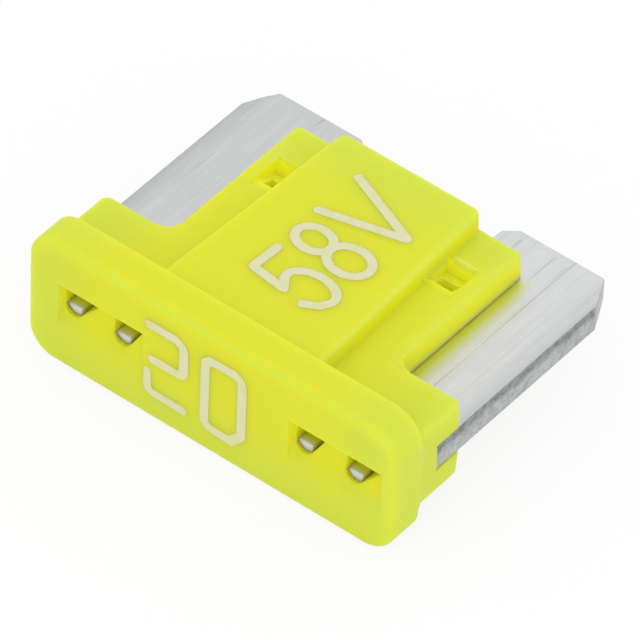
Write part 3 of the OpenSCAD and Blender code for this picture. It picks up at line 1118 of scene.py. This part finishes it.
def floor_sheet():
    """A large flat square under the fuse."""
    half = FLOOR_SIZE / 2
    corners = [(-half, -half, 0), (half, -half, 0), (half, half, 0), (-half, half, 0)]
    mesh = bpy.data.meshes.new("floor")
    mesh.from_pydata(corners, [], [(0, 1, 2, 3)])
    return new_object("floor", mesh)


def floor_paper():
    """White paper that glows in the rays that show it, and keeps its shadow."""
    material, tree, shader = new_material("floor_paper")
    coords = add(tree, "ShaderNodeTexCoord", (-500, 0))
    paper = add(tree, "ShaderNodeTexNoise", (-300, 0), values={"Scale": 400.0})
    link(tree, coords.outputs["Object"], paper.inputs["Vector"])
    tone = ramp(tree, paper.outputs["Fac"], PAPER_TONES, (0, 0))
    link(tree, tone, shader.inputs["Base Color"])
    shader.inputs["Roughness"].default_value = 0.9
    shader.inputs["Specular IOR Level"].default_value = 0.1
    glow = add(tree, "ShaderNodeEmission", (400, -300), values={"Color": (1, 1, 1, 1), "Strength": 1.0})
    path = add(tree, "ShaderNodeLightPath", (200, 300))
    seen = path.outputs["Is Camera Ray"]
    for row, ray in enumerate(("Is Glossy Ray", "Is Transmission Ray")):
        seen = calc(tree, "MAXIMUM", seen, path.outputs[ray], at=(350 + 100 * row, 400))
    share = calc(tree, "MULTIPLY", seen, SHADOW_FILL, at=(500, 300))
    mixed = add(tree, "ShaderNodeMixShader", (600, 100))
    link(tree, share, mixed.inputs[0])
    link(tree, shader.outputs["BSDF"], mixed.inputs[1])
    link(tree, glow.outputs["Emission"], mixed.inputs[2])
    link(tree, mixed.outputs["Shader"], tree.nodes["Material Output"].inputs["Surface"])
    return material


FLOOR = floor_sheet()
FLOOR.data.materials.append(floor_paper())
print("floor in mm:", FLOOR_SIZE / MM)

# %% Light and world


def white_world(strength):
    """A plain white world."""
    world = bpy.data.worlds.new("tent")
    world.use_nodes = True
    back = world.node_tree.nodes["Background"]
    back.inputs["Color"].default_value = (1, 1, 1, 1)
    back.inputs["Strength"].default_value = strength
    bpy.context.scene.world = world


def soft_lamp(name, place, aim, size, watts):
    """A square area lamp that looks at a point."""
    data = bpy.data.lights.new(name, "AREA")
    data.size = size
    data.energy = watts
    lamp = new_object(name, data)
    lamp.location = place
    lamp.rotation_euler = (Vector(aim) - Vector(place)).to_track_quat("-Z", "Y").to_euler()


white_world(strength=1.0)
soft_lamp("key", place=(0.12, -0.13, 0.08), aim=(0, 0, 0), size=0.12, watts=0.022)
print("lamp and world ready")

# %% [markdown]
# The camera
#
# A macro lens looks down on the fuse from the front right. Its place was found
# by matching the known sizes of such a fuse to the photo's outline: azimuth,
# elevation and a small roll, a distance of about 217 mm, and a scale of 43.2
# pixels for each millimetre on the fuse. The lens follows from the last two.

# %% Camera
AZIMUTH = math.radians(37.13)
ELEVATION = math.radians(44.59)
ROLL = math.radians(2.32)
DISTANCE = 217.0 * MM
PIXELS_PER_MM = 43.2
IMAGE = 640
SENSOR = 36.0
AIM = Vector((1.25, -1.82, 3.20)) * MM


def photo_camera():
    """The camera at the photo's angle, aimed at the photo's middle."""
    data = bpy.data.cameras.new("camera")
    data.sensor_width = SENSOR
    data.lens = PIXELS_PER_MM * DISTANCE / MM * SENSOR / IMAGE
    data.clip_start = 0.01
    data.clip_end = 5.0
    right = Vector((math.cos(AZIMUTH), math.sin(AZIMUTH), 0))
    back = Vector((
        math.sin(AZIMUTH) * math.cos(ELEVATION),
        -math.cos(AZIMUTH) * math.cos(ELEVATION),
        math.sin(ELEVATION),
    ))
    up = back.cross(right)
    rolled_right = right * math.cos(ROLL) + up * math.sin(ROLL)
    rolled_up = up * math.cos(ROLL) - right * math.sin(ROLL)
    turn = Matrix((rolled_right, rolled_up, back)).transposed().to_4x4()
    camera = new_object("camera", data)
    camera.matrix_world = Matrix.Translation(AIM + back * DISTANCE) @ turn
    bpy.context.scene.camera = camera
    return camera


CAMERA = photo_camera()
bpy.context.scene.view_settings.view_transform = "Standard"
print("lens in mm:", round(CAMERA.data.lens, 1))
